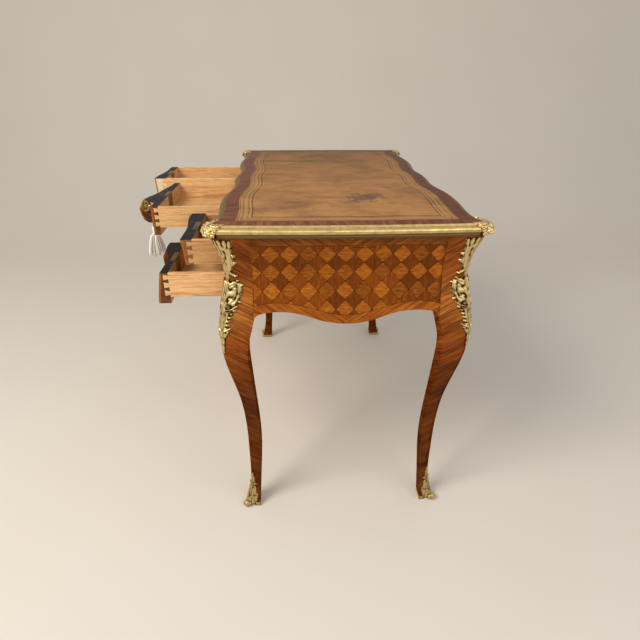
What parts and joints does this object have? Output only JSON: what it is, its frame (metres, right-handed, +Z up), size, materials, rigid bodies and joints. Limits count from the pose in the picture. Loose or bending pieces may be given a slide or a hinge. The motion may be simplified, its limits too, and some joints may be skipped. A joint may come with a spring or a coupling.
{
  "type": "kneehole writing table",
  "caption": "Serpentine kneehole writing table with a leather-lined top, drawers that slide, and four cabriole legs with gilt mounts.",
  "frame": {"origin": "on the floor under the middle of the top", "axes": "+X along the table's length, -Y the way the drawers open, +Z up"},
  "size_m": [1.0282, 0.9222, 0.772],
  "materials": {
    "tulipwood_veneer": "polished",
    "parquetry_veneer": "polished",
    "oak": "waxed",
    "tooled_leather": "waxed",
    "gilt_brass": "gilt",
    "lock_brass": "worn",
    "key_brass": "worn",
    "tassel_silk": "soft"
  },
  "bodies": {
    "carcass": {"top_board": "tulipwood_veneer", "top_leather": "tooled_leather", "edge_mouldings": "gilt_brass", "corner_mounts": "gilt_brass", "leg_back_right": "tulipwood_veneer", "knee_mount_back_right": "gilt_brass", "sabot_back_right": "gilt_brass", "leg_back_left": "tulipwood_veneer", "knee_mount_back_left": "gilt_brass", "sabot_back_left": "gilt_brass", "leg_front_right": "tulipwood_veneer", "knee_mount_front_right": "gilt_brass", "sabot_front_right": "gilt_brass", "leg_front_left": "tulipwood_veneer", "knee_mount_front_left": "gilt_brass", "sabot_front_left": "gilt_brass", "end_panel_right": "parquetry_veneer", "end_panel_left": "parquetry_veneer", "back_panel_right": "parquetry_veneer", "back_panel_left": "parquetry_veneer", "back_panel_centre": "parquetry_veneer", "top_rail_front": "tulipwood_veneer", "top_rail_back": "tulipwood_veneer", "mid_rails": "tulipwood_veneer", "front_dividers": "tulipwood_veneer", "kneehole_side_right": "parquetry_veneer", "kneehole_side_left": "parquetry_veneer", "pedestal_boards_right": "oak", "pedestal_boards_left": "oak", "centre_board": "oak", "drawer_guides": "oak"},
    "drawer_right_upper": {"drawer_right_upper_front": "tulipwood_veneer", "drawer_right_upper_sides": "oak", "drawer_right_upper_back": "oak", "drawer_right_upper_bottom": "oak", "drawer_right_upper_lock": "lock_brass"},
    "drawer_right_lower": {"drawer_right_lower_front": "tulipwood_veneer", "drawer_right_lower_sides": "oak", "drawer_right_lower_back": "oak", "drawer_right_lower_bottom": "oak", "drawer_right_lower_lock": "lock_brass"},
    "drawer_centre": {"drawer_centre_front": "tulipwood_veneer", "drawer_centre_sides": "oak", "drawer_centre_back": "oak", "drawer_centre_bottom": "oak", "drawer_centre_lock": "lock_brass"},
    "drawer_left_upper": {"drawer_left_upper_front": "tulipwood_veneer", "drawer_left_upper_sides": "oak", "drawer_left_upper_back": "oak", "drawer_left_upper_bottom": "oak", "drawer_left_upper_lock": "lock_brass"},
    "drawer_left_lower": {"drawer_left_lower_front": "tulipwood_veneer", "drawer_left_lower_sides": "oak", "drawer_left_lower_back": "oak", "drawer_left_lower_bottom": "oak", "drawer_left_lower_lock": "lock_brass"},
    "key": {"key": "key_brass"},
    "tassel": {"tassel_cord": "tassel_silk", "tassel": "tassel_silk"}
  },
  "joints": [
    {"name": "right_upper_drawer_slide", "type": "slide", "parent": "carcass", "child": "drawer_right_upper", "axis": [0, -1, 0], "range_m": [-0.089, 0.291]},
    {"name": "right_lower_drawer_slide", "type": "slide", "parent": "carcass", "child": "drawer_right_lower", "axis": [0, -1, 0], "range_m": [-0.148, 0.232]},
    {"name": "centre_drawer_slide", "type": "slide", "parent": "carcass", "child": "drawer_centre", "axis": [0, -1, 0], "range_m": [-0.236, 0.144]},
    {"name": "left_upper_drawer_slide", "type": "slide", "parent": "carcass", "child": "drawer_left_upper", "axis": [0, -1, 0], "range_m": [-0.286, 0.094]},
    {"name": "left_lower_drawer_slide", "type": "slide", "parent": "carcass", "child": "drawer_left_lower", "axis": [0, -1, 0], "range_m": [-0.334, 0.046]},
    {"name": "key_turn", "type": "hinge", "parent": "drawer_centre", "child": "key", "pos_m": [0, -0.5, 0.688], "axis": [0, 1, 0], "range_deg": [0, 180]},
    {"name": "tassel_swing", "type": "hinge", "parent": "drawer_centre", "child": "tassel", "pos_m": [0, -0.5216, 0.688], "axis": [0, 1, 0], "range_deg": [-35, 35]}
  ]
}
